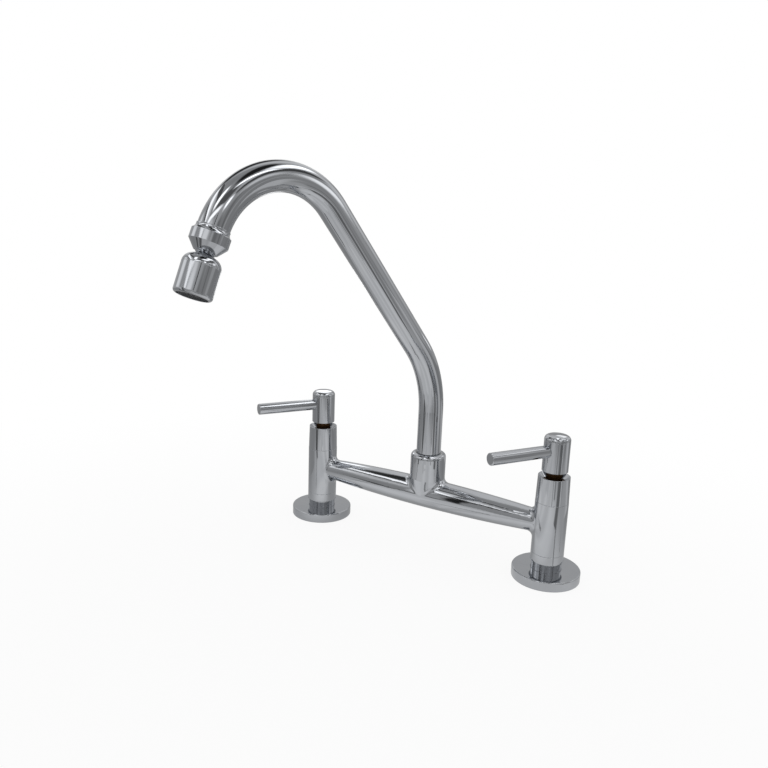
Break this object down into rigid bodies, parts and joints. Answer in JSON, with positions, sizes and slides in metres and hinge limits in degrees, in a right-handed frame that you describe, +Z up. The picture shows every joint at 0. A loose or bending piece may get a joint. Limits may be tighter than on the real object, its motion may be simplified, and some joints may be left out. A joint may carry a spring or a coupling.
{
  "type": "bridge kitchen faucet",
  "caption": "Deck-mounted bridge mixer with round lever handles, a tall swivelling hooked spout and a tilting aerator, in polished chrome.",
  "frame": {"origin": "on the deck plane, midway between the axes of the two columns", "axes": "+X along the bridge from the left column to the right, -Y towards the user, +Z up"},
  "size_m": [0.2623, 0.2301, 0.2861],
  "materials": {
    "chrome": "polished chrome on brass",
    "brass": "turned",
    "steel": "plain stainless",
    "rubber": "moulded",
    "fibre": "pressed fibre",
    "alumina": "lapped",
    "plastic": "moulded acetal",
    "insert": "moulded"
  },
  "bodies": {
    "bridge": {"bridge_body": "chrome", "spout_guide_bush": "plastic", "spout_retaining_screw": "steel", "left_inlet_foot": "chrome", "left_escutcheon": "chrome", "left_deck_gasket": "rubber", "left_headwork_body": "brass", "left_headwork_washer": "fibre", "left_seat_seal": "rubber", "left_fixed_ceramic_disc": "alumina", "left_bonnet_sleeve": "chrome", "right_inlet_foot": "chrome", "right_escutcheon": "chrome", "right_deck_gasket": "rubber", "right_headwork_body": "brass", "right_headwork_washer": "fibre", "right_seat_seal": "rubber", "right_fixed_ceramic_disc": "alumina", "right_bonnet_sleeve": "chrome"},
    "left_handle": {"left_moving_ceramic_disc": "alumina", "left_spindle": "brass", "left_spindle_o_rings": "rubber", "left_spindle_clip": "steel", "left_handle_hub": "chrome", "left_lever_rod": "chrome", "left_handle_screw": "steel", "left_hub_cap": "chrome"},
    "right_handle": {"right_moving_ceramic_disc": "alumina", "right_spindle": "brass", "right_spindle_o_rings": "rubber", "right_spindle_clip": "steel", "right_handle_hub": "chrome", "right_lever_rod": "chrome", "right_handle_screw": "steel", "right_hub_cap": "chrome"},
    "spout": {"spout_tube": "chrome", "spout_tailpiece": "brass", "spout_o_rings": "rubber", "outlet_bush": "brass", "outlet_collar": "chrome"},
    "ball_cup": {"ball_seat": "plastic"},
    "aerator": {"swivel_ball": "chrome", "aerator_cap": "chrome", "aerator_shell": "chrome", "aerator_insert": "insert", "aerator_screen": "steel", "aerator_washer": "rubber"}
  },
  "joints": [
    {"name": "left_handle_turn", "type": "hinge", "parent": "bridge", "child": "left_handle", "pos_m": [-0.1016, 0, 0.0974], "axis": [0, 0, 1], "range_deg": [0, 90]},
    {"name": "right_handle_turn", "type": "hinge", "parent": "bridge", "child": "right_handle", "pos_m": [0.1016, 0, 0.0974], "axis": [0, 0, 1], "range_deg": [0, 90]},
    {"name": "spout_swivel", "type": "hinge", "parent": "bridge", "child": "spout", "pos_m": [0, 0, 0.06], "axis": [0, 0, 1], "continuous": true},
    {"name": "aerator_spin", "type": "hinge", "parent": "spout", "child": "ball_cup", "pos_m": [-0.05323, -0.18324, 0.23562], "axis": [-0.1059, -0.3644, -0.9252], "continuous": true},
    {"name": "aerator_tilt", "type": "hinge", "parent": "ball_cup", "child": "aerator", "pos_m": [-0.05323, -0.18324, 0.23562], "axis": [-0.3877, -0.8417, 0.3759], "range_deg": [-25.1, 14.9]}
  ]
}
